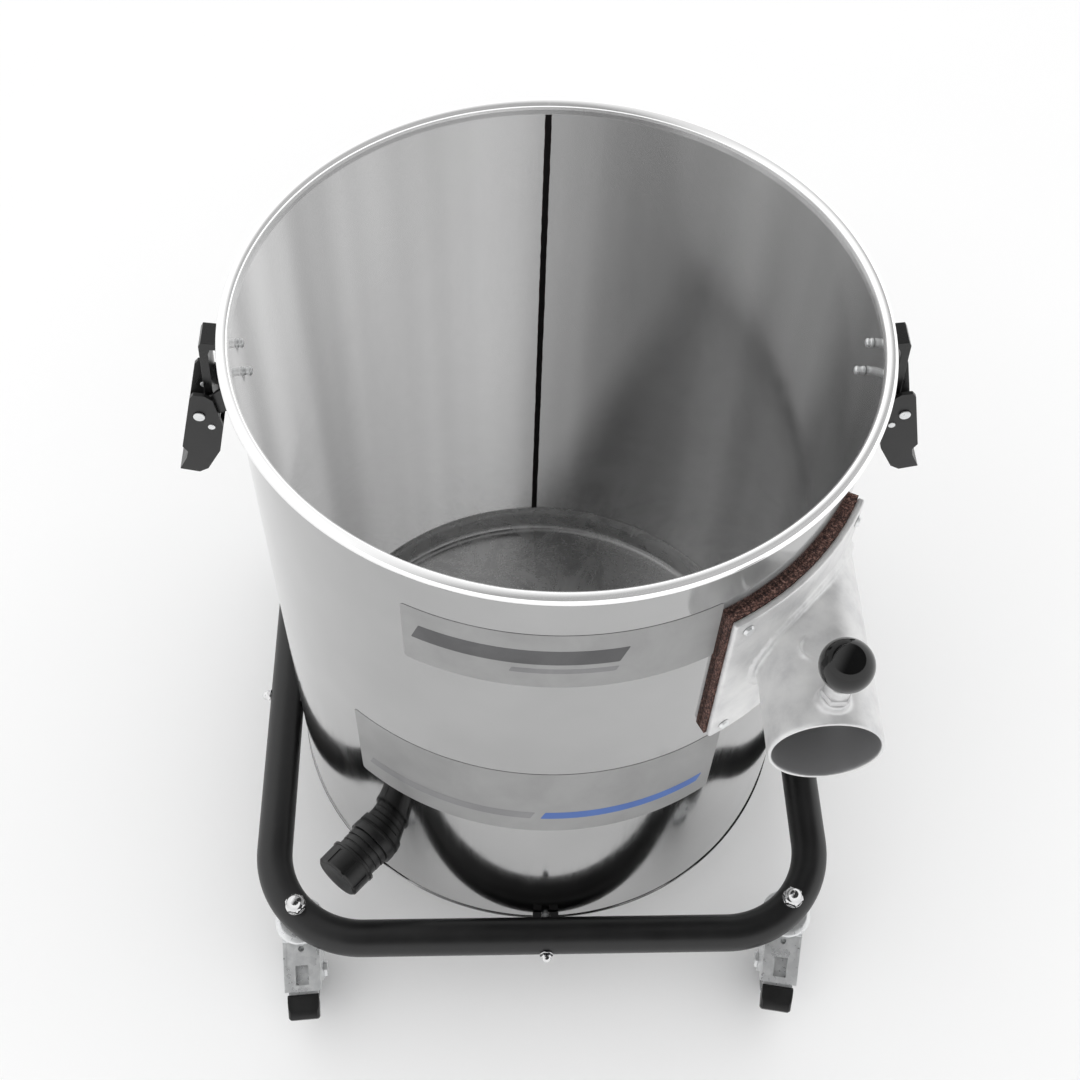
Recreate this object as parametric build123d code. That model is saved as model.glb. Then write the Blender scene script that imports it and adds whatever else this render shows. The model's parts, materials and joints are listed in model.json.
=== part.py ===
from build123d import *
import os
from math import atan2, cos, degrees, radians, sin, sqrt

# Wheeled open-top collecting drum: a stainless drum bolted into a tube loop on four braked
# swivel casters, with a tangential hose inlet, a capped drain and two head latches.
# Millimetres. +Z is up, z = 0 is the floor, the drum's axis is the Z axis, and the front is -Y.

# ---- driving dimensions -------------------------------------------------------------------
DRUM_RADIUS = 225.0          # outside of the wall
DRUM_HEIGHT = 528.0          # bottom edge to the middle of the rim bead
SHEET = 1.2                  # wall and pan thickness
BEAD_RADIUS = 4.5            # wired rim bead

PAN_LIP = 8.6                # pan flange above the drum's bottom edge
PAN_DEPTH = 18.7             # pan floor below the drum's bottom edge
PAN_TAPER = 6.2              # how far the pan closes in, from flange to floor

TUBE_RADIUS = 16.0
TUBE_WALL = 2.0
LOOP_CORNER = 84.0           # corner bend, to the tube's centre line
LOOP_GAP = 3.0               # drum wall to tube
LOOP_RISE = 6.0              # tube centre above the drum's bottom edge

WHEEL_RADIUS = 31.0
WHEEL_WIDTH = 20.0
CASTER_CROWN = 28.0          # top of the wheel to the underside of the tube
CASTER_TRAIL = 26.0          # swivel axis to wheel axle
FORK_SIDE = 6.0              # wheel's face to the outside of the fork's cheek
FORK_SHEET = 2.5
CASTER_TURNS = (4.0, -10.0, 10.0, -4.0)

INLET_INSET = 48.0           # duct axis, in from the side of the drum
INLET_DROP = 144.5           # duct axis below the bead
INLET_REACH = 34.0           # duct mouth, forward of the drum's wall
DUCT_BORE = 36.25            # radius
DUCT_WALL = 3.25
SADDLE_SPAN = (28.0, 64.0)   # degrees round the drum from the front
SADDLE_HEIGHT = 153.0
SADDLE_PLATE = 5.2
GASKET_THICKNESS = 5.5

DRAIN_ANGLE = -41.5          # degrees round the drum from the front
DRAIN_RISE = 50.0            # drain axis above the drum's bottom edge
DRAIN_CAP_RADIUS = 21.7

LATCH_PIVOT_OUT = 31.0       # lever pivot outside the drum wall
LATCH_PIVOT_DROP = 80.0      # lever pivot below the bead
LATCH_WIDTH = 36.0

LABEL_FILM = 0.2

# ---- clearances ---------------------------------------------------------------------------
CONTACT = 0.05               # between faces that rest on each other
RUNNING = 0.05               # radial, shafts that turn or slide
LOOSE = 0.3                  # between moving pieces that pass each other

# ---- derived places -----------------------------------------------------------------------
WALL_INNER = DRUM_RADIUS - SHEET
CASTER_HEIGHT = 2 * WHEEL_RADIUS + CASTER_CROWN
FORK_WIDTH = WHEEL_WIDTH + 2 * FORK_SIDE
LOOP_HALF = DRUM_RADIUS + LOOP_GAP + TUBE_RADIUS
LOOP_Z = CASTER_HEIGHT + TUBE_RADIUS
DRUM_Z = LOOP_Z - LOOP_RISE
BEAD_Z = DRUM_Z + DRUM_HEIGHT
CORNER_CENTRE = LOOP_HALF - LOOP_CORNER
CASTER_XY = CORNER_CENTRE + LOOP_CORNER * cos(radians(45))
CORNERS = ((-1, -1), (1, -1), (-1, 1), (1, 1))
CORNER_NAMES = ("front_left", "front_right", "rear_left", "rear_right")

parts = {}


# ---- helpers ------------------------------------------------------------------------------
def rod(radius, length):
    """Round bar from z = 0 up."""
    return Cylinder(radius, length, align=(Align.CENTER, Align.CENTER, Align.MIN))


def pipe(outer, inner, length):
    """Tube from z = 0 up."""
    return rod(outer, length) - Pos(0, 0, -1) * rod(inner, length + 2)


def turned(points):
    """Solid turned about Z from (radius, height) corners."""
    profile = make_face(Polyline([(r, 0, z) for r, z in points], close=True))
    return revolve(profile, Axis.Z, 360)


def plate(points, width, thickness_axis=Plane.XZ):
    """Flat plate of the given outline, centred across its width."""
    outline = make_face(Polyline(points, close=True))
    return extrude(thickness_axis * outline, width / 2, both=True)


def wall_patch(inner, outer, angles, low, high):
    """Piece of a ring about Z, between two angles from the front towards +X."""
    start, end = angles
    ring = Pos(0, 0, low) * pipe(outer, inner, high - low)
    reach = 2 * outer
    corners = [(0, 0)]
    steps = 8
    for step in range(steps + 1):
        angle = radians(start + (end - start) * step / steps)
        corners.append((reach * sin(angle), -reach * cos(angle)))
    wedge = extrude(make_face(Polyline(corners, close=True)), high - low + 2)
    return ring & Pos(0, 0, low - 1) * wedge


def outward(angle, height):
    """Frame on the drum's axis with its Z axis pointing out at an angle from the front."""
    direction = Vector(sin(radians(angle)), -cos(radians(angle)), 0)
    return Plane(origin=(0, 0, height), x_dir=(0, 0, 1), z_dir=direction).location


def drum_core(radius):
    """Round bar on the drum's axis, for cutting faces that sit on the wall."""
    return rod(radius, 2 * BEAD_Z)


def group(solids):
    """One node of several separate solids."""
    return Compound(children=[solid for shape in solids for solid in shape.solids()])


# ---- drum ---------------------------------------------------------------------------------
BEAD_CENTRE = DRUM_RADIUS - 0.9 + BEAD_RADIUS
BOTTOM_HEM = 1.0
SEAM_WIDTH = 5.5


def build_drum():
    wall = Pos(0, 0, DRUM_Z) * pipe(DRUM_RADIUS, WALL_INNER, DRUM_HEIGHT)
    bead = Pos(0, 0, BEAD_Z) * Torus(BEAD_CENTRE, BEAD_RADIUS)
    hem = Pos(0, 0, DRUM_Z) * pipe(DRUM_RADIUS + BOTTOM_HEM, WALL_INNER, 2.4)
    shell = wall + bead + hem
    shell -= inlet_port()
    shell -= outward(DRAIN_ANGLE, DRAIN_Z) * rod(DRAIN_TAIL + CONTACT, 2 * DRUM_RADIUS)
    for side in (-1, 1):
        for rivet_z in RIVET_HEIGHTS:
            shell -= outward(90 * side, rivet_z) * rod(RIVET_SHANK + CONTACT, 2 * DRUM_RADIUS)
    parts["drum_shell"] = shell

    outer = WALL_INNER - CONTACT
    inner = outer - SHEET
    floor_radius = inner - PAN_TAPER
    lip = DRUM_Z + PAN_LIP
    floor = DRUM_Z - PAN_DEPTH
    neck = DRUM_Z - 0.5
    disc_radius = floor_radius - 3.0
    rim_start = disc_radius + CONTACT
    parts["drum_floor"] = Pos(0, 0, floor - SHEET) * rod(disc_radius, SHEET)
    parts["drum_base"] = turned([
        (rim_start, floor - SHEET), (floor_radius + 0.9, floor - SHEET), (outer, neck), (outer, lip),
        (inner, lip), (inner, neck), (floor_radius, floor), (rim_start, floor),
    ])

    half_seam = degrees(SEAM_WIDTH / 2 / WALL_INNER)
    behind = (180 - half_seam, 180 + half_seam)
    seam_low = lip + LOOSE
    seam_high = BEAD_Z - BEAD_RADIUS - 1
    inside = wall_patch(WALL_INNER - 0.6, WALL_INNER - CONTACT, behind, seam_low, seam_high)
    seam_foot = LOOP_Z + SPACER_HEIGHT / 2 + 1
    outside = wall_patch(DRUM_RADIUS + CONTACT, DRUM_RADIUS + 0.5, behind, seam_foot, seam_high)
    parts["drum_seam"] = group([inside, outside])


def build_labels():
    inner = DRUM_RADIUS + CONTACT
    outer = inner + LABEL_FILM
    upper_top = BEAD_Z - 48
    lower_top = INLET_Z - SADDLE_HEIGHT / 2 - 22
    upper_span = (-28, SADDLE_SPAN[0] - 1)
    lower_span = (-42, 34)
    parts["label_upper"] = wall_patch(inner, outer, upper_span, upper_top - 65, upper_top)
    parts["label_lower"] = wall_patch(inner, outer, lower_span, lower_top - 98, lower_top)


# ---- tube loop ----------------------------------------------------------------------------
STUD_RADIUS = 3.0
STUD_PAD = 0.8
STUD_HOLE = STUD_RADIUS + 0.3
SPACER_HEIGHT = 18.0
STEM_RADIUS = 5.0
STEM_HOLE = STEM_RADIUS + 0.3
NUT_SEAT = LOOP_HALF + TUBE_RADIUS + CONTACT


def build_loop():
    straight = 2 * CORNER_CENTRE
    bore = TUBE_RADIUS - TUBE_WALL
    bar = Pos(-CORNER_CENTRE, -LOOP_HALF, LOOP_Z) * Rot(0, 90, 0) * pipe(TUBE_RADIUS, bore, straight)
    ring = Plane.XZ * (Circle(TUBE_RADIUS) - Circle(bore))
    ring = Pos(LOOP_CORNER, 0, 0) * ring
    bend = Pos(CORNER_CENTRE, -CORNER_CENTRE, LOOP_Z) * Rot(0, 0, -90) * revolve(ring, Axis.Z, 90)
    loop = bar + bend
    for turn in (90, 180, 270):
        loop += Rot(0, 0, turn) * (bar + bend)
    for turn in (0, 90, 180, 270):
        loop -= outward(turn, LOOP_Z) * rod(STUD_HOLE, 2 * LOOP_HALF)
    for x, y in CORNERS:
        loop -= Pos(x * CASTER_XY, y * CASTER_XY, 0) * rod(STEM_HOLE, 2 * LOOP_Z)
    parts["base_loop"] = loop


def dome_nut(across, hex_height, dome_height, bore):
    """Acorn nut standing on z = 0, with a round flange, hexagon and domed cap."""
    radius = across / 2
    flange = rod(radius * 1.12, 1.2)
    body = extrude(RegularPolygon(radius, 6, major_radius=False), hex_height)
    dome_radius = radius * 0.9
    cap = Pos(0, 0, hex_height) * scale(Sphere(dome_radius), (1, 1, dome_height / dome_radius))
    nut = flange + body + cap
    return nut - Pos(0, 0, -dome_height) * rod(bore, hex_height + 1.5 * dome_height)


def build_studs():
    studs = []
    spacers = []
    nuts = []
    tab_width = 7.5
    slot = 2 * STUD_RADIUS + 1.6
    for turn in (0, 90, 180, 270):
        place = outward(turn, LOOP_Z)
        tip = NUT_SEAT + 5.0
        stud = Pos(0, 0, DRUM_RADIUS - 4) * rod(STUD_RADIUS, tip - DRUM_RADIUS + 4)
        pad = Pos(0, 0, DRUM_RADIUS - 4) * rod(STUD_RADIUS + 0.6, 4 + STUD_PAD)
        studs.append((place * (stud + pad)) - drum_core(DRUM_RADIUS + CONTACT))
        for side in (-1, 1):
            middle = side * (slot + tab_width) / 2
            block = Box(SPACER_HEIGHT, tab_width, LOOP_GAP + 6)
            tab = place * Pos(0, middle, DRUM_RADIUS + LOOP_GAP / 2) * block
            tube = place * Pos(0, 0, LOOP_HALF) * Rot(90, 0, 0) * Cylinder(TUBE_RADIUS + CONTACT, 80)
            tab = tab - drum_core(DRUM_RADIUS + CONTACT + BOTTOM_HEM) - tube
            spacers.append(tab.solids().sort_by(SortBy.VOLUME)[-1])
        nuts.append(place * Pos(0, 0, NUT_SEAT) * dome_nut(10, 4.0, 4.5, STUD_RADIUS + CONTACT))
    parts["frame_studs"] = group(studs)
    parts["frame_spacers"] = group(spacers)
    parts["frame_dome_nuts"] = group(nuts)


# ---- casters ------------------------------------------------------------------------------
RACE_RADIUS = 22.0
BALL_RADIUS = 2.0
BALL_CIRCLE = 14.0
FORK_TOP = CASTER_HEIGHT - 6.5
CUP_BOTTOM = FORK_TOP + 0.5
BALL_Z = (FORK_TOP + CUP_BOTTOM) / 2
TOP_PLATE = 3.0
AXLE_RADIUS = 4.0
HUB_RADIUS = WHEEL_RADIUS - 8.0
CHEEK_INNER = FORK_WIDTH / 2 - FORK_SHEET
PEDAL_PIVOT = (CASTER_TRAIL - 10.0, CASTER_HEIGHT - 18.0)
PEDAL_PIN = 2.5
WEB_START = (PEDAL_PIVOT[0], FORK_TOP - 1.5)
WEB_END = (CASTER_TRAIL + WHEEL_RADIUS, CASTER_HEIGHT - 26.5)
PEDAL_TIP = WEB_END[0] + 21.0
TIP_WIDTH = 27.5
LEVER_START = (PEDAL_PIVOT[0] - 3, PEDAL_PIVOT[1] + 1)
LEVER_END = (WEB_END[0] + 5, WEB_END[1] - 7.5)


def strip(start, end, thickness, width, below=0.0, beyond=0.0):
    """Flat strip along a line in the caster's (forward, height) plane."""
    run = end[0] - start[0]
    fall = end[1] - start[1]
    length = sqrt(run * run + fall * fall) + beyond
    tilt = degrees(atan2(fall, run))
    box = Box(length, width, thickness, align=(Align.MIN, Align.CENTER, Align.MAX))
    return Pos(start[0], 0, start[1]) * Rot(0, -tilt, 0) * Pos(0, 0, -below) * box


def cheek_outline():
    """Side of the fork in the (forward, height) plane."""
    axle = (CASTER_TRAIL, WHEEL_RADIUS)
    return [
        (-17, FORK_TOP - 0.5), (WEB_START[0], FORK_TOP - 0.5), (WEB_END[0], WEB_END[1]),
        (WEB_END[0] - 3, WEB_END[1] - 7), (axle[0] + 17, axle[1] + 17), (axle[0] + 9.5, axle[1] - 4),
        (axle[0] + 5, axle[1] - 9.5), (axle[0] - 5, axle[1] - 9.5), (axle[0] - 9.5, axle[1] - 4),
        (-15, FORK_TOP - 13),
    ]


def build_fork():
    disc = Pos(0, 0, FORK_TOP - TOP_PLATE) * rod(RACE_RADIUS - 1.5, TOP_PLATE)
    fork = disc
    for side in (-1, 1):
        cheek = plate(cheek_outline(), FORK_SHEET)
        fork += Pos(0, side * (FORK_WIDTH - FORK_SHEET) / 2, 0) * cheek
    fork += strip(WEB_START, WEB_END, FORK_SHEET, FORK_WIDTH)
    bridge = Box(WEB_START[0] + 8, FORK_WIDTH, TOP_PLATE, align=(Align.MIN, Align.CENTER, Align.MAX))
    fork += Pos(-6, 0, FORK_TOP) * bridge
    fork -= Pos(0, 0, BALL_Z) * Torus(BALL_CIRCLE, BALL_RADIUS + CONTACT)
    fork -= rod(STEM_RADIUS + RUNNING, CASTER_HEIGHT)
    axle_hole = Rot(90, 0, 0) * Cylinder(AXLE_RADIUS + CONTACT, 2 * FORK_WIDTH)
    fork -= Pos(CASTER_TRAIL, 0, WHEEL_RADIUS) * axle_hole
    pin_hole = Rot(90, 0, 0) * Cylinder(PEDAL_PIN + RUNNING, 2 * FORK_WIDTH)
    fork -= Pos(PEDAL_PIVOT[0], 0, PEDAL_PIVOT[1]) * pin_hole
    tilt = degrees(atan2(WEB_END[1] - WEB_START[1], WEB_END[0] - WEB_START[0]))
    web = Pos(WEB_START[0], 0, WEB_START[1]) * Rot(0, -tilt, 0)
    fork -= web * Pos(8, 0, 0) * Cylinder(2.6, 8)
    fork -= web * Pos(31, 0, 0) * Box(17, 11.5, 8)
    return fork


def build_pedal():
    inner_width = 2 * (CHEEK_INNER - LOOSE)
    lever = strip(LEVER_START, LEVER_END, 2.0, inner_width)
    boss = Rot(90, 0, 0) * Cylinder(PEDAL_PIN + 2.5, inner_width)
    lever += Pos(PEDAL_PIVOT[0], 0, PEDAL_PIVOT[1]) * boss
    shoe = strip(LEVER_START, LEVER_END, 0.6, 14.0, below=1.9)
    shoe = shoe & Pos(CASTER_TRAIL + 12, 0, PEDAL_PIVOT[1]) * Box(16, 20, 60)
    lever += shoe
    pin = Rot(90, 0, 0) * Cylinder(PEDAL_PIN, FORK_WIDTH + 1.5)
    lever += Pos(PEDAL_PIVOT[0], 0, PEDAL_PIVOT[1]) * pin
    return lever


def build_pedal_tip():
    middle = LEVER_END[1]
    low = middle - 9
    outline = [
        (WEB_END[0] + 1.5, middle + 4.5), (WEB_END[0] + 4, middle + 6), (PEDAL_TIP - 5, middle + 1),
        (PEDAL_TIP, middle - 4), (PEDAL_TIP - 1, low), (WEB_END[0] + 6, low + 1.5),
    ]
    tip = plate(outline, TIP_WIDTH)
    upright = tip.edges().filter_by(lambda e: abs(e.center().X - PEDAL_TIP) < 7)
    upright = upright.filter_by(lambda e: abs(e.center().Y) > TIP_WIDTH / 2 - 0.1)
    tip = fillet(upright, 3.0)
    thickness = 2.0 + 2 * CONTACT
    socket = strip(LEVER_START, LEVER_END, thickness, 2 * CHEEK_INNER + 2, below=-CONTACT, beyond=0.2)
    return tip - socket


def build_wheel():
    half = WHEEL_WIDTH / 2
    crown = 2.5
    tread = turned([
        (HUB_RADIUS, -half + 1), (WHEEL_RADIUS - crown, -half), (WHEEL_RADIUS, -half + crown + 2),
        (WHEEL_RADIUS, half - crown - 2), (WHEEL_RADIUS - crown, half), (HUB_RADIUS, half - 1),
    ])
    core = HUB_RADIUS - CONTACT
    hub = turned([
        (AXLE_RADIUS + RUNNING, -half - 2), (8, -half - 2), (8, -half + 3), (core - 3, -half + 3),
        (core - 3, -half + 1), (core, -half + 1), (core, half - 1), (core - 3, half - 1),
        (core - 3, half - 3), (8, half - 3), (8, half + 2), (AXLE_RADIUS + RUNNING, half + 2),
    ])
    across = Pos(CASTER_TRAIL, 0, WHEEL_RADIUS) * Rot(90, 0, 0)
    return across * tread, across * hub


def build_axle():
    half = FORK_WIDTH / 2
    shank = Pos(0, 0, -half - 3) * rod(AXLE_RADIUS, 2 * half + 6)
    head = Pos(0, 0, half + CONTACT) * extrude(RegularPolygon(6.5, 6, major_radius=False), 3.2)
    nut = Pos(0, 0, -half - 3.2 - CONTACT) * extrude(RegularPolygon(6.5, 6, major_radius=False), 3.2)
    return Pos(CASTER_TRAIL, 0, WHEEL_RADIUS) * Rot(90, 0, 0) * (shank + head + nut)


def build_casters():
    stems = []
    cups = []
    balls = []
    nuts = []
    fork = build_fork()
    tread, hub = build_wheel()
    axle = build_axle()
    pedal = build_pedal()
    tip = build_pedal_tip()
    tube_top = LOOP_Z + TUBE_RADIUS
    for (x, y), name, turn in zip(CORNERS, CORNER_NAMES, CASTER_TURNS):
        place = Pos(x * CASTER_XY, y * CASTER_XY, 0)
        head_top = FORK_TOP - TOP_PLATE - LOOSE
        stem = Pos(0, 0, head_top - 4) * (rod(STEM_RADIUS + 4, 4))
        stem += Pos(0, 0, head_top - 4) * rod(STEM_RADIUS, tube_top + 11 - head_top)
        stems.append(place * stem)
        cup = turned([
            (STEM_RADIUS + CONTACT, CUP_BOTTOM), (RACE_RADIUS - 1, CUP_BOTTOM),
            (RACE_RADIUS, CUP_BOTTOM + 1), (RACE_RADIUS, CUP_BOTTOM + 3.5),
            (RACE_RADIUS - 4, CASTER_HEIGHT - CONTACT), (STEM_RADIUS + CONTACT, CASTER_HEIGHT - CONTACT),
        ])
        cup -= Pos(0, 0, BALL_Z) * Torus(BALL_CIRCLE, BALL_RADIUS + CONTACT)
        cups.append(place * cup)
        for step in range(10):
            angle = radians(36 * step)
            spot = Pos(BALL_CIRCLE * cos(angle), BALL_CIRCLE * sin(angle), BALL_Z)
            balls.append(place * spot * Sphere(BALL_RADIUS))
        nut = dome_nut(16, 6.5, 7.5, STEM_RADIUS + CONTACT)
        nuts.append(place * Pos(0, 0, tube_top + CONTACT) * nut)
        facing = -90 + turn if y < 0 else 90 + turn
        local = place * Rot(0, 0, facing)
        parts[f"caster_{name}_fork"] = local * fork
        parts[f"caster_{name}_tread"] = local * tread
        parts[f"caster_{name}_hub"] = local * hub
        parts[f"caster_{name}_axle"] = local * axle
        parts[f"caster_{name}_pedal"] = local * pedal
        parts[f"caster_{name}_pedal_tip"] = local * tip
    parts["caster_stems"] = group(stems)
    parts["caster_race_cups"] = group(cups)
    parts["caster_balls"] = group(balls)
    parts["caster_acorn_nuts"] = group(nuts)


# ---- inlet --------------------------------------------------------------------------------
INLET_X = DRUM_RADIUS - INLET_INSET
INLET_Z = BEAD_Z - INLET_DROP
MOUTH_Y = -(DRUM_RADIUS + INLET_REACH)
DUCT_OUTER = DUCT_BORE + DUCT_WALL
GASKET_OUTER = DRUM_RADIUS + GASKET_THICKNESS
SADDLE_INNER = GASKET_OUTER + CONTACT
SADDLE_OUTER = SADDLE_INNER + SADDLE_PLATE
SADDLE_MIDDLE = sum(SADDLE_SPAN) / 2
ELBOW_Y = -(DRUM_RADIUS - 60.0)
PLUNGER_Y = MOUTH_Y + 18.0
PLUNGER_RADIUS = 4.0
GUIDE_RADIUS = 9.2
BOSS_TOP = INLET_Z + DUCT_OUTER + 8.5
GUIDE_TOP = BOSS_TOP + 15.0
PLUNGER_TRAVEL = 4.0
KNOB_RADIUS = 18.0
KNOB_FLAT = 1.0
KNOB_Z = GUIDE_TOP + PLUNGER_TRAVEL + 0.5 + KNOB_RADIUS - KNOB_FLAT
CHAMBER = 7.2
SADDLE_SCREW = 2.5


def along_front(radius, start_y, end_y):
    """Round bar on the duct's axis between two y values."""
    bar = Rot(90, 0, 0) * rod(radius, start_y - end_y)
    return Pos(INLET_X, start_y, INLET_Z) * bar


def inlet_port():
    """Passage that runs from the elbow through the saddle, gasket and wall."""
    direction = Vector(-sin(radians(SADDLE_MIDDLE)), cos(radians(SADDLE_MIDDLE)), 0)
    frame = Plane(origin=(INLET_X, ELBOW_Y, INLET_Z), x_dir=(0, 0, 1), z_dir=direction)
    return frame.location * rod(DUCT_BORE, 60)


def saddle_screws():
    """Places of the four saddle screws, as (angle, height)."""
    low, high = SADDLE_SPAN
    rise = SADDLE_HEIGHT / 2 - 12
    return [(angle, INLET_Z + z) for angle in (low + 3, high - 3) for z in (-rise, rise)]


def build_inlet():
    low = INLET_Z - SADDLE_HEIGHT / 2
    high = INLET_Z + SADDLE_HEIGHT / 2
    trimmed = (SADDLE_SPAN[0] + 0.15, SADDLE_SPAN[1] - 0.15)
    gasket = wall_patch(DRUM_RADIUS + CONTACT, GASKET_OUTER, SADDLE_SPAN, low, high)
    saddle = wall_patch(SADDLE_INNER, SADDLE_OUTER, trimmed, low + 0.5, high - 0.5)
    pad = wall_patch(SADDLE_INNER, SADDLE_OUTER + 3.2, trimmed, low + 2, high - 2)
    pad = pad & along_front(DUCT_OUTER + 5.0, 0, MOUTH_Y)
    duct = along_front(DUCT_OUTER, 0, MOUTH_Y)
    around = (SADDLE_SPAN[0] - 25, SADDLE_SPAN[1] + 0.5)
    beyond = wall_patch(0.5, 3 * DRUM_RADIUS, around, low, high)
    duct = (duct & beyond) - drum_core(SADDLE_INNER)
    boss_height = BOSS_TOP - INLET_Z
    boss = Pos(INLET_X, PLUNGER_Y, INLET_Z) * rod(GUIDE_RADIUS + 1.6, boss_height)
    flare = Pos(0, 0, INLET_Z + DUCT_OUTER - 3) * Cone(GUIDE_RADIUS + 5, GUIDE_RADIUS + 1.6, 8)
    boss += Pos(INLET_X, PLUNGER_Y, 0) * flare
    mark = Pos(INLET_X - 8, 25 - DRUM_RADIUS, INLET_Z + DUCT_OUTER - 3) * pipe(9.5, 8.3, 3)
    casting = saddle + pad + duct + boss + mark
    casting -= along_front(DUCT_BORE, ELBOW_Y, MOUTH_Y - 1)
    casting -= Pos(INLET_X, ELBOW_Y, INLET_Z) * Sphere(DUCT_BORE)
    casting -= inlet_port()
    gasket -= inlet_port()
    gasket -= along_front(DUCT_BORE, ELBOW_Y, MOUTH_Y)
    spindle = Pos(INLET_X, PLUNGER_Y, INLET_Z)
    casting -= spindle * rod(PLUNGER_RADIUS + RUNNING, boss_height + 5)
    thread = 6.0
    casting -= Pos(0, 0, boss_height - 7) * spindle * rod(thread + CONTACT, 10)
    mouth = casting.edges().filter_by(GeomType.CIRCLE).sort_by(Axis.Y)[:2]
    casting = chamfer(mouth, 1.0)
    screws = []
    nuts = []
    for angle, height in saddle_screws():
        place = outward(angle, height)
        hole = place * Pos(0, 0, DRUM_RADIUS - 10) * rod(SADDLE_SCREW + CONTACT, 30)
        casting -= hole
        gasket -= hole
        seat = SADDLE_OUTER + 0.2
        shank = Pos(0, 0, WALL_INNER - 6) * rod(SADDLE_SCREW, seat - WALL_INNER + 6)
        head = Pos(0, 0, seat) * Cone(4.6, 3.2, 2.2, align=(Align.CENTER, Align.CENTER, Align.MIN))
        screws.append(place * (shank + head))
        nut = pipe(5.2, SADDLE_SCREW + CONTACT, 4.0)
        nuts.append(place * Pos(0, 0, WALL_INNER - 4.2) * nut)
        parts["drum_shell"] -= hole
    parts["inlet_casting"] = casting
    parts["inlet_gasket"] = gasket
    parts["inlet_fasteners"] = group(screws + nuts)


def build_plunger():
    place = Pos(INLET_X, PLUNGER_Y, 0)
    seat = BOSS_TOP + CONTACT
    hexagon = extrude(RegularPolygon(GUIDE_RADIUS, 6, major_radius=False), 5)
    guide = Pos(0, 0, seat) * (rod(GUIDE_RADIUS - 0.8, GUIDE_TOP - seat) + hexagon)
    guide += Pos(0, 0, seat - 6) * rod(6.0, 7)
    chamber_low = seat + 1.5
    chamber_high = GUIDE_TOP - 2.0
    guide -= Pos(0, 0, chamber_low) * rod(CHAMBER, chamber_high - chamber_low)
    guide -= Pos(0, 0, seat - 8) * rod(PLUNGER_RADIUS + RUNNING, 40)
    parts["lock_guide"] = place * guide

    tip_z = INLET_Z + DUCT_BORE + 0.2
    collar_z = chamber_low + PLUNGER_TRAVEL + 0.45
    pin = Pos(0, 0, tip_z) * rod(PLUNGER_RADIUS, KNOB_Z + 6 - tip_z)
    pin += Pos(0, 0, collar_z) * rod(CHAMBER - LOOSE, 1.5)
    parts["lock_pin"] = place * pin

    wire = 0.5
    coil_radius = PLUNGER_RADIUS + LOOSE + 2 * wire
    coil_low = collar_z + 1.5 + wire + CONTACT
    coil_high = chamber_high - wire - CONTACT
    path = Helix((coil_high - coil_low) / 4, coil_high - coil_low, coil_radius)
    section = Plane(origin=path @ 0, z_dir=path % 0) * Circle(wire)
    spring = sweep(section, path=path, is_frenet=True)
    parts["lock_spring"] = place * Pos(0, 0, coil_low) * spring

    knob = Pos(0, 0, KNOB_Z) * Sphere(KNOB_RADIUS)
    under = KNOB_Z - KNOB_RADIUS + KNOB_FLAT
    knob -= Pos(0, 0, under) * Box(60, 60, 10, align=(Align.CENTER, Align.CENTER, Align.MAX))
    knob -= Pos(0, 0, KNOB_Z - KNOB_RADIUS - 2) * rod(PLUNGER_RADIUS + CONTACT, KNOB_RADIUS + 8.5)
    parts["lock_knob"] = place * knob


# ---- drain --------------------------------------------------------------------------------
DRAIN_Z = DRUM_Z + DRAIN_RISE
DRAIN_FLANGE = DRAIN_CAP_RADIUS + 0.6
DRAIN_NECK = DRAIN_CAP_RADIUS - 1.4
DRAIN_SPIGOT = DRAIN_CAP_RADIUS - 4.7
DRAIN_TAIL = DRAIN_SPIGOT - 1.0
DRAIN_BORE = DRAIN_TAIL - 3.0
SEAL_THICKNESS = 1.8
CAP_START = DRUM_RADIUS + 28.0
CAP_LENGTH = 22.0
CAP_GRIPS = 8


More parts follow.
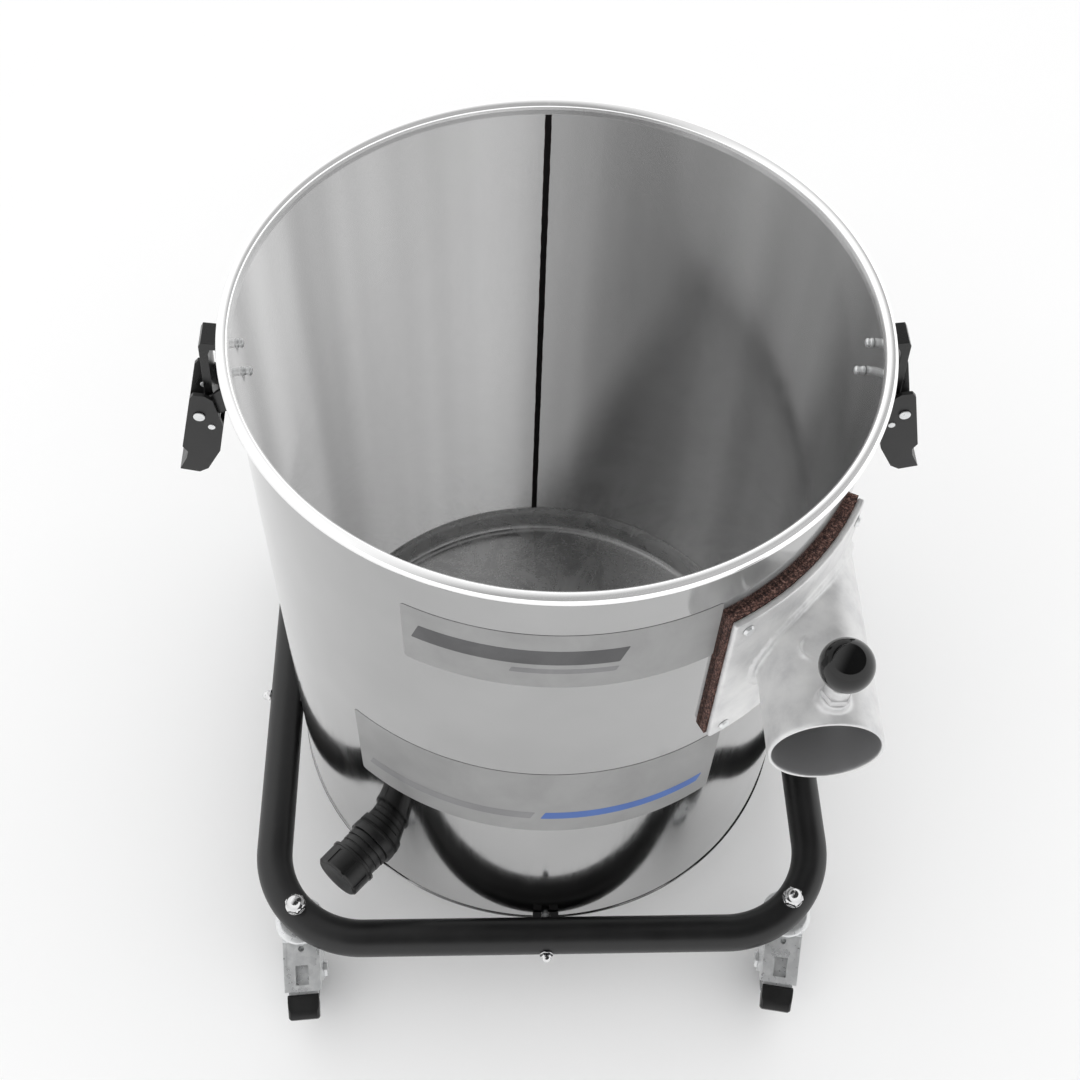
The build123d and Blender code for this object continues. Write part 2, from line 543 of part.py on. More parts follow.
def build_drain():
    place = outward(DRAIN_ANGLE, DRAIN_Z)
    seal_outer = DRUM_RADIUS + CONTACT + SEAL_THICKNESS
    ring = place * Pos(0, 0, DRUM_RADIUS - 6) * pipe(DRAIN_FLANGE - 0.5, DRAIN_TAIL + CONTACT, 12)
    seal = (ring & drum_core(seal_outer)) - drum_core(DRUM_RADIUS + CONTACT)
    parts["drain_seal"] = seal.solids().sort_by(SortBy.VOLUME)[-1]

    flange_end = DRUM_RADIUS + 8.0
    ridge = (CAP_START - 1.0 - flange_end) / 3
    gap = 1.2
    outside = Pos(0, 0, DRUM_RADIUS - 4) * rod(DRAIN_FLANGE, flange_end - DRUM_RADIUS + 4)
    outside += Pos(0, 0, flange_end) * rod(DRAIN_SPIGOT + 1.5, CAP_START - 1.0 - flange_end)
    for step in range(3):
        start = flange_end + step * ridge + gap
        outside += Pos(0, 0, start) * rod(DRAIN_NECK - 0.4 * step, ridge - gap)
    outside += Pos(0, 0, CAP_START - 2) * rod(DRAIN_SPIGOT, CAP_LENGTH - 3)
    outside = (place * outside) - drum_core(seal_outer + CONTACT)
    tail_end = WALL_INNER - 8.5
    tail = place * Pos(0, 0, tail_end) * rod(DRAIN_TAIL, flange_end - tail_end)
    fitting = outside + tail
    fitting -= place * Pos(0, 0, tail_end - 2) * rod(DRAIN_BORE, CAP_LENGTH + 80)
    parts["drain_fitting"] = fitting

    nut_length = 6.0
    nut_body = extrude(RegularPolygon(DRAIN_FLANGE - 1, 8, major_radius=False), nut_length + 2)
    nut_body -= Pos(0, 0, -1) * rod(DRAIN_TAIL + CONTACT, nut_length + 4)
    locknut = (place * Pos(0, 0, WALL_INNER - nut_length) * nut_body) & drum_core(WALL_INNER - CONTACT)
    parts["drain_locknut"] = locknut

    end_wall = 3.0
    cap = Pos(0, 0, CAP_START) * rod(DRAIN_CAP_RADIUS, CAP_LENGTH)
    rim = cap.edges().filter_by(GeomType.CIRCLE).sort_by(Axis.Z)[-1:]
    cap = chamfer(rim, 2.0)
    cap += Pos(0, 0, CAP_START) * rod(DRAIN_CAP_RADIUS + 0.8, 2.5)
    cavity = CAP_LENGTH - end_wall
    cap -= Pos(0, 0, CAP_START - 1) * rod(DRAIN_SPIGOT + RUNNING, cavity + 1)
    groove = Box(3, 3.2, CAP_LENGTH, align=(Align.CENTER, Align.CENTER, Align.MIN))
    for step in range(CAP_GRIPS):
        notch = Pos(DRAIN_CAP_RADIUS + 0.6, 0, CAP_START + 5) * groove
        cap -= Rot(0, 0, 360 * (step + 0.5) / CAP_GRIPS) * notch
    parts["drain_cap"] = place * cap


# ---- latches ------------------------------------------------------------------------------
LATCH_U = DRUM_RADIUS + LATCH_PIVOT_OUT
LATCH_Z = BEAD_Z - LATCH_PIVOT_DROP
LEVER_SHEET = 3.0
CLAW_PIVOT = (LATCH_U - 7.0, LATCH_Z - 12.0)
EAR_THICKNESS = 2.4
EAR_INNER = LATCH_WIDTH / 2 - LEVER_SHEET - LOOSE - EAR_THICKNESS
BASE_WIDTH = 2 * (EAR_INNER + EAR_THICKNESS + LOOSE)
CLAW_WIDTH = 2 * EAR_INNER - 4.6
HOOK_TIP = DRUM_RADIUS + 10.0
PIN_RADIUS = 2.6
RIVET_SHANK = 2.4
RIVET_HEIGHTS = (BEAD_Z - 52.0, BEAD_Z - 23.0)
RIVET_TAILS = (8.0, 6.0)
PLATE_BACK = DRUM_RADIUS + CONTACT
PLATE_FRONT = DRUM_RADIUS + 2.6


def lever_side():
    """Side of the lever in the (outward, height) plane."""
    u, z = LATCH_U, LATCH_Z
    return [
        (u - 12, z + 16), (u - 7, z + 21), (u + 1, z + 22.5), (u + 4, z + 19), (u + 18, z - 35),
        (u + 15, z - 41), (u + 17, z - 48), (u + 24, z - 61), (u + 10, z - 65), (u + 3, z - 61),
        (u - 9, z - 40), (u - 15, z - 12),
    ]


def lever_hollow():
    """Hollow of the lever, open towards the drum and at the top."""
    u, z = LATCH_U, LATCH_Z
    return [
        (u - 40, z + 40), (u + 40, z + 40), (u + 40, z - 14), (u + 9.6, z - 14), (u + 14.6, z - 34),
        (u + 11.6, z - 41), (u + 14, z - 50), (u + 19, z - 59.5), (u + 10.5, z - 61.5),
        (u + 5.5, z - 58), (u - 6.5, z - 38), (u - 40, z - 38),
    ]


def build_latch(side, name):
    face = Plane.XZ if side > 0 else Plane(origin=(0, 0, 0), x_dir=(-1, 0, 0), z_dir=(0, 1, 0))
    half = LATCH_WIDTH / 2
    inner = half - LEVER_SHEET

    def across(points, width):
        outline = make_face(Polyline(points, close=True))
        return extrude(face * outline, width / 2, both=True)

    def bar(place, radius, low, high):
        """Round bar along Y."""
        return Pos(side * place[0], high, place[1]) * Rot(90, 0, 0) * rod(radius, high - low)

    pivot = (LATCH_U, LATCH_Z)
    lever = across(lever_side(), LATCH_WIDTH) - across(lever_hollow(), 2 * inner)
    lever -= bar(pivot, PIN_RADIUS + RUNNING, -half - 1, half + 1)
    lever -= bar(CLAW_PIVOT, PIN_RADIUS + CONTACT, -half - 1, half + 1)
    parts[f"latch_{name}_lever"] = lever

    top = BEAD_Z - 8.0
    low = LATCH_Z + 4.0
    align = (Align.MAX, Align.CENTER, Align.MIN)
    back = Box(PLATE_FRONT - DRUM_RADIUS + 6, BASE_WIDTH, top - low, align=align)
    if side < 0:
        back = Rot(0, 0, 180) * back
    base = Pos(side * PLATE_FRONT, 0, low) * back
    ear = [
        (DRUM_RADIUS - 2, low + 3), (LATCH_U - 3, LATCH_Z - 5), (LATCH_U + 3, LATCH_Z - 5),
        (LATCH_U + 6, LATCH_Z), (LATCH_U + 3, LATCH_Z + 5), (DRUM_RADIUS - 2, low + 34),
    ]
    for y in (-1, 1):
        base += Pos(0, y * (EAR_INNER + EAR_THICKNESS / 2), 0) * across(ear, EAR_THICKNESS)
    base -= drum_core(PLATE_BACK)
    base -= bar(pivot, PIN_RADIUS + CONTACT, -half, half)
    for height in RIVET_HEIGHTS:
        base -= outward(90 * side, height) * rod(RIVET_SHANK + CONTACT, 300)
    parts[f"latch_{name}_base"] = base

    pins = []
    for y in (-1, 1):
        start = y * (EAR_INNER - 0.8)
        end = y * (half + 1.4)
        pin = bar(pivot, PIN_RADIUS, min(start, end), max(start, end))
        head_start = y * (half + LOOSE)
        head_end = y * (half + 1.6)
        pin += bar(pivot, PIN_RADIUS + 1.6, min(head_start, head_end), max(head_start, head_end))
        pins.append(pin)
    parts[f"latch_{name}_pins"] = group(pins)

    cu, cz = CLAW_PIVOT
    arm = [
        (cu - 4.5, cz - 4), (cu + 4, cz - 4), (cu + 4, cz + 4), (cu + 1.5, cz + 30),
        (cu - 1.5, BEAD_Z - 16), (cu - 3.5, BEAD_Z - 12.5), (HOOK_TIP, BEAD_Z - 14),
        (HOOK_TIP, BEAD_Z - 20), (HOOK_TIP + 5, BEAD_Z - 19.5), (cu - 7, BEAD_Z - 24),
        (cu - 4.5, cz + 30),
    ]
    claw = across(arm, CLAW_WIDTH)
    claw += bar(CLAW_PIVOT, PIN_RADIUS + 2.6, -CLAW_WIDTH / 2, CLAW_WIDTH / 2)
    claw -= bar(CLAW_PIVOT, PIN_RADIUS + RUNNING, -half, half)
    parts[f"latch_{name}_claw"] = claw
    parts[f"latch_{name}_claw_pin"] = bar(CLAW_PIVOT, PIN_RADIUS, -half - 0.6, half + 0.6)


def build_latches():
    build_latch(-1, "left")
    build_latch(1, "right")
    rivets = []
    for side in (-1, 1):
        for height, tail in zip(RIVET_HEIGHTS, RIVET_TAILS):
            end = WALL_INNER - tail
            shank = Pos(0, 0, end) * rod(RIVET_SHANK, PLATE_FRONT + 0.5 - end)
            head = Pos(0, 0, PLATE_FRONT + CONTACT) * rod(4.6, 1.4)
            bulb = Pos(0, 0, end) * rod(3.3, tail - 0.4)
            bulb -= Pos(0, 0, WALL_INNER - tail / 2) * Torus(4.2, 1.5)
            rivets.append(outward(90 * side, height) * (shank + head + bulb))
    parts["latch_rivets"] = group(rivets)


build_drum()
build_labels()
build_loop()
build_studs()
build_casters()
build_inlet()
build_plunger()
build_drain()
build_latches()

os.makedirs("parts", exist_ok=True)
for name, shape in parts.items():
    export_step(shape, f"parts/{name}.step")
print(len(parts), "parts written")
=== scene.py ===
import bmesh
import bpy
import json
import math
from mathutils import Matrix, Vector, noise

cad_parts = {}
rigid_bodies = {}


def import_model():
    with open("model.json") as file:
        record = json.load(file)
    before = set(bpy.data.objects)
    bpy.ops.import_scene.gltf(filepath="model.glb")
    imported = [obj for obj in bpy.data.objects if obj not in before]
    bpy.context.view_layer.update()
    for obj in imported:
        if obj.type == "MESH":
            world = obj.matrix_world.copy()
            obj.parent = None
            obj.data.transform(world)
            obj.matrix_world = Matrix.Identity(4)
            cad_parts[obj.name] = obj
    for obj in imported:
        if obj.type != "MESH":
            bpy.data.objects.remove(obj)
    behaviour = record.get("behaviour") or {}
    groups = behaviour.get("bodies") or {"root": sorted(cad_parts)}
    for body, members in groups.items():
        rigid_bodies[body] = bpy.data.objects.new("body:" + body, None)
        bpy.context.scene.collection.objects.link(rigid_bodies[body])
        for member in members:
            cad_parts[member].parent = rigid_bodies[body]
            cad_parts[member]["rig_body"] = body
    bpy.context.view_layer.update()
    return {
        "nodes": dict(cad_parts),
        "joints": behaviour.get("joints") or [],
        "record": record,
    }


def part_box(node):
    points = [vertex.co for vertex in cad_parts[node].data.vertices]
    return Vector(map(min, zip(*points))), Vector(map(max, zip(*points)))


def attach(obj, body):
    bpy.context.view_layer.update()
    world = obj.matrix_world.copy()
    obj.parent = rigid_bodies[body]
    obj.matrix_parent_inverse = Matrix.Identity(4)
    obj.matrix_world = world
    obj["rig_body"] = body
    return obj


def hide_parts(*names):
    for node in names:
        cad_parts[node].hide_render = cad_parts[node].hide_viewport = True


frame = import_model()

# Everything is built in the CAD frame. Sizes are written in millimetres and scaled on the way in.
MM = 0.001
NODES = frame["nodes"]
SLOTS = {part["node"]: part["material_slot"] for part in frame["record"]["subparts"]}
JOINTS = {joint["name"]: joint for joint in frame["joints"]}
CORNERS = ("front_left", "front_right", "rear_left", "rear_right")


def box_mm(node):
    low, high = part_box(node)
    return low / MM, high / MM


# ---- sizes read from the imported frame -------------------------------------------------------
shell_low, shell_high = box_mm("drum_shell")
base_low, base_high = box_mm("drum_base")
loop_low, loop_high = box_mm("base_loop")
WALL_GAP = 0.05
WALL_IN = base_high.x + WALL_GAP
WALL_OUT = WALL_IN + 1.2
BEAD_R = 4.5
BEAD_CENTRE = shell_high.x - BEAD_R
BEAD_Z = shell_high.z - BEAD_R
DRUM_Z = shell_low.z
TUBE_R = (loop_high.z - loop_low.z) / 2
LOOP_Z = loop_low.z + TUBE_R
LOOP_HALF = loop_high.x - TUBE_R
LOOP_CORNER = 84.0
INLET = Vector((177.0, -165.0, (box_mm("inlet_gasket")[0].z + box_mm("inlet_gasket")[1].z) / 2))
PORT_ANGLE = 46.0
DRAIN_ANGLE = -41.5
DRAIN_Z = DRUM_Z + 50.0


# ---- node materials -------------------------------------------------------------------------
class Graph:
    """Small helper that adds shader nodes and links them."""

    def __init__(self, name):
        self.material = bpy.data.materials.new(name)
        self.material.use_nodes = True
        self.tree = self.material.node_tree
        self.shader = self.tree.nodes["Principled BSDF"]
        self.place = self.add("ShaderNodeTexCoord").outputs["Object"]

    def add(self, kind, **settings):
        made = self.tree.nodes.new(kind)
        for key, value in settings.items():
            setattr(made, key, value)
        return made

    def feed(self, socket, value):
        if isinstance(value, bpy.types.NodeSocket):
            self.tree.links.new(value, socket)
        elif isinstance(value, tuple) and len(value) == 3 and socket.type == "RGBA":
            socket.default_value = (*value, 1.0)
        else:
            socket.default_value = value

    def math(self, operation, first, second=0.0, third=0.0):
        made = self.add("ShaderNodeMath", operation=operation)
        for socket, value in zip(made.inputs, (first, second, third)):
            self.feed(socket, value)
        return made.outputs[0]

    def stretched(self, scale):
        made = self.add("ShaderNodeMapping")
        self.feed(made.inputs["Vector"], self.place)
        made.inputs["Scale"].default_value = scale
        return made.outputs[0]

    def noise(self, scale, detail=4.0, rough=0.55, where=None, distortion=0.0):
        made = self.add("ShaderNodeTexNoise")
        self.feed(made.inputs["Vector"], where or self.place)
        made.inputs["Scale"].default_value = scale
        made.inputs["Detail"].default_value = detail
        made.inputs["Roughness"].default_value = rough
        made.inputs["Distortion"].default_value = distortion
        return made.outputs["Fac"]

    def cells(self, scale, where=None, feature="F1"):
        made = self.add("ShaderNodeTexVoronoi", feature=feature)
        self.feed(made.inputs["Vector"], where or self.place)
        made.inputs["Scale"].default_value = scale
        return made.outputs

    def ramp(self, value, stops, smooth=False):
        made = self.add("ShaderNodeValToRGB")
        self.feed(made.inputs["Fac"], value)
        bar = made.color_ramp
        bar.interpolation = "EASE" if smooth else "LINEAR"
        while len(bar.elements) < len(stops):
            bar.elements.new(0.5)
        for element, (spot, colour) in zip(bar.elements, stops):
            element.position = spot
            element.color = (*colour, 1.0) if isinstance(colour, tuple) else (colour, colour, colour, 1.0)
        return made.outputs["Color"]

    def between(self, value, low, high, start=0.0, end=1.0):
        """Value mapped from start..end to low..high, held at both ends."""
        made = self.add("ShaderNodeMapRange")
        self.feed(made.inputs["Value"], value)
        made.inputs["From Min"].default_value = start
        made.inputs["From Max"].default_value = end
        made.inputs["To Min"].default_value = low
        made.inputs["To Max"].default_value = high
        return made.outputs[0]

    def mix(self, share, first, second):
        made = self.add("ShaderNodeMix", data_type="RGBA")
        self.feed(made.inputs["Factor"], share)
        self.feed(made.inputs[6], first)
        self.feed(made.inputs[7], second)
        return made.outputs[2]

    def relief(self, height, strength, distance, normal=None):
        made = self.add("ShaderNodeBump")
        made.inputs["Strength"].default_value = strength
        made.inputs["Distance"].default_value = distance
        self.feed(made.inputs["Height"], height)
        if normal is not None:
            self.feed(made.inputs["Normal"], normal)
        return made.outputs[0]

    def split(self):
        made = self.add("ShaderNodeSeparateXYZ")
        self.feed(made.inputs[0], self.place)
        return made.outputs

    def radius(self):
        x, y, _ = self.split()
        return self.math("SQRT", self.math("ADD", self.math("MULTIPLY", x, x), self.math("MULTIPLY", y, y)))

    def around(self):
        """(turn about Z as -1..1, height) laid out as a vector, so marks can run round or up the drum."""
        x, y, z = self.split()
        turn = self.math("MULTIPLY", self.math("ARCTAN2", x, self.math("MULTIPLY", y, -1.0)), 0.225)
        made = self.add("ShaderNodeCombineXYZ")
        self.feed(made.inputs[0], turn)
        self.feed(made.inputs[1], z)
        self.feed(made.inputs[2], self.radius())
        return made.outputs[0]

    def set(self, **values):
        names = {"colour": "Base Color", "metal": "Metallic", "rough": "Roughness", "normal": "Normal",
                 "coat": "Coat Weight", "coat_rough": "Coat Roughness", "spec": "Specular IOR Level",
                 "grain": "Anisotropic", "grain_turn": "Anisotropic Rotation", "tangent": "Tangent",
                 "sheen": "Sheen Weight", "alpha": "Alpha"}
        for key, value in values.items():
            self.feed(self.shader.inputs[names[key]], value)
        return self.material


def mapped(graph, vector, scale):
    made = graph.add("ShaderNodeMapping")
    graph.feed(made.inputs["Vector"], vector)
    made.inputs["Scale"].default_value = scale
    return made.outputs[0]


BEAD_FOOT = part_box("drum_shell")[1][2] - 0.0105
DUCT = next(mount for mount in frame["record"]["mounts"] if mount["name"] == "hose_inlet")
DUCT_X, DUCT_Z = DUCT["pos_m"][0], DUCT["pos_m"][2]
DUCT_BORE = DUCT["dims"]["r_mm"] / 1000


def polished_stainless():
    g = Graph("polished_stainless")
    lay = g.around()
    streaks = g.noise(1.0, 3.0, 0.6, mapped(g, lay, (900.0, 5.0, 1.0)))
    clouds = g.noise(7.0, 3.0, 0.5)
    smears = g.noise(1.0, 4.0, 0.6, mapped(g, lay, (22.0, 9.0, 1.0)), 0.6)
    inside = g.between(g.radius(), 1.0, 0.0, 0.2240, 0.2248)
    rough = g.math("ADD", g.between(streaks, 0.05, 0.10, 0.3, 0.7), g.between(smears, 0.0, 0.06, 0.5, 0.75))
    rough = g.math("ADD", rough, g.math("MULTIPLY", inside, 0.09))
    waves = g.noise(1.0, 2.0, 0.4, mapped(g, lay, (9.0, 5.0, 1.0)))
    normal = g.relief(waves, 0.35, 0.0012)
    normal = g.relief(streaks, 0.10, 0.00005, normal)
    tangent = g.add("ShaderNodeTangent", direction_type="RADIAL", axis="Z").outputs[0]
    # Painted reflection: the inner wall's colour goes lighter and darker in vertical bands round the drum,
    # standing in for the studio mirrored in the brushed steel.
    painted_reflection_bands = g.noise(1.0, 2.0, 0.45, mapped(g, lay, (11.0, 0.25, 1.0)))
    outer = g.ramp(clouds, [(0.3, (0.40, 0.40, 0.40)), (0.7, (0.47, 0.47, 0.47))])
    inner = g.ramp(painted_reflection_bands, [(0.34, (0.44, 0.44, 0.44)), (0.64, (0.64, 0.64, 0.64))], smooth=True)
    # Painted highlight: the rolled bead is coloured near-white, much lighter than the wall of the same
    # steel, for the bright sky it mirrors.
    bead = g.between(g.split()[2], 0.0, 1.0, BEAD_FOOT, BEAD_FOOT + 0.0015)
    colour = g.mix(bead, g.mix(inside, outer, inner), (0.93, 0.93, 0.93))
    satin = g.math("MAXIMUM", g.math("SUBTRACT", inside, bead), 0.0)
    metal = g.math("SUBTRACT", 1.0, g.math("MULTIPLY", satin, 0.20))
    metal = g.math("SUBTRACT", metal, g.math("MULTIPLY", bead, 0.07))
    return g.set(colour=colour, metal=metal, rough=rough, normal=normal,
                 grain=0.5, grain_turn=0.25, tangent=tangent)


def satin_stainless():
    g = Graph("satin_stainless")
    lay = g.around()
    smudges = g.noise(1.0, 5.0, 0.62, mapped(g, lay, (26.0, 30.0, 26.0)), 1.2)
    rings = g.noise(1.0, 2.0, 0.6, mapped(g, lay, (3.0, 500.0, 900.0)))
    rough = g.math("ADD", g.between(smudges, 0.14, 0.34, 0.35, 0.65), g.between(rings, 0.0, 0.05, 0.3, 0.7))
    normal = g.relief(g.noise(11.0, 2.0, 0.4), 0.30, 0.0010)
    normal = g.relief(rings, 0.12, 0.00006, normal)
    tangent = g.add("ShaderNodeTangent", direction_type="RADIAL", axis="Z").outputs[0]
    return g.set(colour=g.ramp(smudges, [(0.35, (0.50, 0.50, 0.50)), (0.7, (0.68, 0.68, 0.68))]), metal=0.9,
                 rough=rough, normal=normal, grain=0.65, grain_turn=0.0, tangent=tangent)


def cast_aluminium():
    g = Graph("cast_aluminium")
    broad = g.noise(38.0, 5.0, 0.6)
    skin = g.noise(900.0, 3.0, 0.6)
    pits = g.cells(520.0)["Distance"]
    rough = g.math("ADD", g.between(broad, 0.34, 0.50, 0.35, 0.7), g.between(skin, -0.03, 0.05, 0.3, 0.7))
    normal = g.relief(broad, 0.22, 0.0009)
    normal = g.relief(skin, 0.35, 0.00012, normal)
    normal = g.relief(pits, 0.12, 0.00010, normal)
    colour = g.ramp(broad, [(0.32, (0.64, 0.64, 0.645)), (0.50, (0.76, 0.76, 0.76)),
                            (0.72, (0.85, 0.85, 0.845))])
    # Painted shade: the casting goes dark grey inside the duct's bore, round its axis, where the deep recess
    # lies in shade.
    x, _, z = g.split()
    aside = g.math("POWER", g.math("SUBTRACT", x, DUCT_X), 2.0)
    above = g.math("POWER", g.math("SUBTRACT", z, DUCT_Z), 2.0)
    away = g.math("SQRT", g.math("ADD", aside, above))
    painted_bore_shade = g.between(away, 1.0, 0.0, DUCT_BORE + 0.0003, DUCT_BORE + 0.0009)
    colour = g.mix(painted_bore_shade, colour, (0.30, 0.30, 0.305))
    return g.set(colour=colour, metal=0.48, rough=rough, normal=normal)


def powder_coat():
    g = Graph("black_powder_coat")
    peel = g.noise(420.0, 2.0, 0.5)
    fine = g.noise(2600.0, 2.0, 0.6)
    dust = g.noise(24.0, 6.0, 0.62)
    normal = g.relief(peel, 0.25, 0.00025)
    normal = g.relief(fine, 0.12, 0.00006, normal)
    return g.set(colour=g.ramp(dust, [(0.35, (0.0075, 0.0075, 0.0078)), (0.75, (0.014, 0.014, 0.0145))]),
                 rough=g.between(dust, 0.34, 0.44, 0.3, 0.7), spec=0.5, normal=normal)


def black_moulding(name, low, high, grain, tone=0.008):
    g = Graph(name)
    patch = g.noise(60.0, 4.0, 0.6)
    skin = g.noise(1500.0, 3.0, 0.6)
    colour = g.ramp(patch, [(0.3, (tone, tone, tone)), (0.75, (tone * 1.7, tone * 1.7, tone * 1.75))])
    return g.set(colour=colour, rough=g.between(patch, low, high, 0.3, 0.7), spec=0.5,
                 normal=g.relief(skin, grain, 0.00008))


def bright_metal(name, dark, light, low, high, grain=0.15, metal=1.0):
    g = Graph(name)
    spangle = g.cells(170.0)["Color"]
    patch = g.noise(130.0, 4.0, 0.6)
    marks = g.noise(1.0, 3.0, 0.6, g.stretched((1400.0, 1400.0, 120.0)))
    share = g.math("ADD", g.math("MULTIPLY", patch, 0.75), g.math("MULTIPLY", spangle, 0.25))
    return g.set(colour=g.ramp(share, [(0.3, dark), (0.7, light)]), metal=metal,
                 rough=g.between(share, low, high, 0.3, 0.7), normal=g.relief(marks, grain, 0.00005))


def cork_rubber():
    g = Graph("cork_rubber")
    lumps = g.cells(760.0)
    specks = g.cells(1500.0)
    tone = g.ramp(g.noise(420.0, 3.0, 0.7), [(0.34, (0.035, 0.022, 0.020)), (0.50, (0.15, 0.075, 0.060)),
                                             (0.66, (0.36, 0.21, 0.17))])
    pale = g.between(specks["Distance"], 1.0, 0.0, 0.10, 0.30)
    colour = g.mix(g.math("MULTIPLY", pale, 0.55), tone, (0.50, 0.33, 0.28))
    dark = g.between(lumps["Distance"], 0.0, 0.8, 0.42, 0.62)
    colour = g.mix(dark, colour, (0.02, 0.013, 0.014))
    return g.set(colour=colour, rough=0.78, spec=0.3, normal=g.relief(lumps["Distance"], 0.55, 0.0004))


def rubber(name, dark, light, rough):
    g = Graph(name)
    patch = g.noise(90.0, 5.0, 0.6)
    skin = g.noise(1300.0, 3.0, 0.6)
    return g.set(colour=g.ramp(patch, [(0.3, dark), (0.72, light)]),
                 rough=g.between(patch, rough - 0.06, rough + 0.08, 0.3, 0.7),
                 spec=0.4, normal=g.relief(skin, 0.3, 0.0001))


def sealant():
    g = Graph("seam_black")
    x = g.split()[0]
    edge = g.between(g.math("ABSOLUTE", x), 0.0, 1.0, 0.0019, 0.0028)
    flecks = g.between(g.noise(520.0, 3.0, 0.7), 0.0, 1.0, 0.50, 0.62)
    colour = g.mix(g.math("MULTIPLY", edge, flecks), (0.006, 0.005, 0.005), (0.12, 0.035, 0.035))
    return g.set(colour=colour, rough=0.6, spec=0.25, normal=g.relief(g.noise(260.0, 3.0, 0.6), 0.5, 0.0004))


def label_film(name, dark, light, rough, metal):
    g = Graph(name)
    lay = g.around()
    mist = g.noise(1.0, 5.0, 0.6, mapped(g, lay, (30.0, 22.0, 1.0)), 0.4)
    matt = g.noise(2200.0, 2.0, 0.5)
    return g.set(colour=g.ramp(mist, [(0.3, dark), (0.7, light)]), metal=metal,
                 rough=g.between(mist, rough - 0.04, rough + 0.05, 0.3, 0.7),
                 normal=g.relief(matt, 0.12, 0.00005))


MATERIALS = {
    "polished_stainless": polished_stainless(),
    "satin_stainless": satin_stainless(),
    "seam_black": sealant(),
    "label_film": label_film("label_film", (0.31, 0.31, 0.31), (0.38, 0.38, 0.38), 0.42, 0.75),
    "black_powder_coat": powder_coat(),
    "zinc_plated_steel": bright_metal("zinc_plated_steel", (0.70, 0.71, 0.72), (0.88, 0.89, 0.89),
                                      0.24, 0.40, 0.15, 0.62),
    "chromed_nuts": bright_metal("chromed_nuts", (0.70, 0.70, 0.71), (0.82, 0.82, 0.82), 0.07, 0.16, 0.05),
    "cast_aluminium": cast_aluminium(),
    "cork_rubber": cork_rubber(),
    "seal_rubber": rubber("seal_rubber", (0.010, 0.010, 0.010), (0.022, 0.022, 0.022), 0.6),
    "black_moulding": black_moulding("black_moulding", 0.32, 0.46, 0.25),
    "latch_steel": black_moulding("latch_steel", 0.24, 0.38, 0.18, 0.006),
    "grey_tread": rubber("grey_tread", (0.20, 0.205, 0.21), (0.30, 0.305, 0.31), 0.62),
    "wheel_core": rubber("wheel_core", (0.30, 0.31, 0.32), (0.40, 0.41, 0.42), 0.45),
    "gloss_knob": black_moulding("gloss_knob", 0.045, 0.09, 0.03, 0.004),
}
PRINTS = {
    "print_grey": label_film("print_grey", (0.055, 0.055, 0.058), (0.10, 0.10, 0.103), 0.5, 0.1),
    "print_mid": label_film("print_mid", (0.17, 0.17, 0.175), (0.24, 0.24, 0.245), 0.5, 0.1),
    "print_blue": label_film("print_blue", (0.040, 0.10, 0.33), (0.065, 0.15, 0.42), 0.5, 0.1),
}


# ---- mesh helpers ---------------------------------------------------------------------------
def smooth(mesh, angle):
    mesh.shade_smooth()
    mesh.set_sharp_from_angle(angle=math.radians(angle))


def show(name, mesh, *stands_for, slot=None, material=None, angle=32.0):
    """Adds a mesh as a piece that stands for CAD nodes and rides on the first one's body."""
    if angle:
        smooth(mesh, angle)
    piece = bpy.data.objects.new(name, mesh)
    bpy.context.scene.collection.objects.link(piece)
    first = stands_for[0]
    slot = slot or SLOTS[first]
    mesh.materials.clear()
    mesh.materials.append(material or MATERIALS[slot])
    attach(piece, NODES[first]["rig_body"])
    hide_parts(*stands_for)
    return piece


def add_on(name, mesh, node, material, angle=32.0):
    """Adds a mesh that goes with a CAD node without standing for it."""
    smooth(mesh, angle)
    piece = bpy.data.objects.new(name, mesh)
    bpy.context.scene.collection.objects.link(piece)
    mesh.materials.append(material)
    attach(piece, NODES[node]["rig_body"])
    return piece


def as_mesh(name, bm):
    bmesh.ops.recalc_face_normals(bm, faces=bm.faces)
    mesh = bpy.data.meshes.new(name)
    bm.to_mesh(mesh)
    bm.free()
    return mesh


def softened(points, sizes, steps=5):
    """Closed (radius, height) outline with rounded corners, each of its own size or all of one."""
    count = len(points)
    sizes = [sizes] * count if isinstance(sizes, (int, float)) else sizes
    made = []
    for index, (corner, size) in enumerate(zip(points, sizes)):
        here = Vector(corner)
        before = Vector(points[index - 1]) - here
        after = Vector(points[(index + 1) % count]) - here
        reach = min(size, before.length * 0.49, after.length * 0.49)
        if size == 0 or reach < 1e-4:
            made.append(tuple(here))
            continue
        start = here + before.normalized() * reach
        end = here + after.normalized() * reach
        for step in range(steps + 1):
            t = step / steps
            spot = start * (1 - t) ** 2 + here * 2 * t * (1 - t) + end * t ** 2
            made.append(tuple(spot))
    return made


def turn(bm, outline, segments=96, place=Matrix.Identity(4), shape=None):
    """Adds a closed outline of (radius, height) in mm, turned about the Z axis of place."""
    rings = []
    for step in range(segments):
        angle = 2 * math.pi * step / segments
        ring = []
        for index, (radius, height) in enumerate(outline):
            reach = shape(angle, radius, height, index) if shape else radius
            spot = Vector((reach * math.cos(angle), reach * math.sin(angle), height)) * MM
            ring.append(bm.verts.new(place @ spot))
        rings.append(ring)
    count = len(outline)
    for step in range(segments):
        this, following = rings[step], rings[(step + 1) % segments]
        for index in range(count):
            after = (index + 1) % count
            if outline[index][0] == 0 and outline[after][0] == 0:
                continue
            bm.faces.new((this[index], this[after], following[after], following[index]))
    bmesh.ops.remove_doubles(bm, verts=[v for ring in rings for v in ring], dist=1e-7)


def outward(angle, height):
    """Frame on the drum's axis with Z pointing out at an angle from the front."""
    heading = math.radians(angle)
    across = Vector((math.sin(heading), -math.cos(heading), 0))
    up = Vector((0, 0, 1))
    side = across.cross(up)
    turned = Matrix((up, side * -1, across)).transposed().to_4x4()
    return Matrix.Translation((0, 0, height * MM)) @ turned


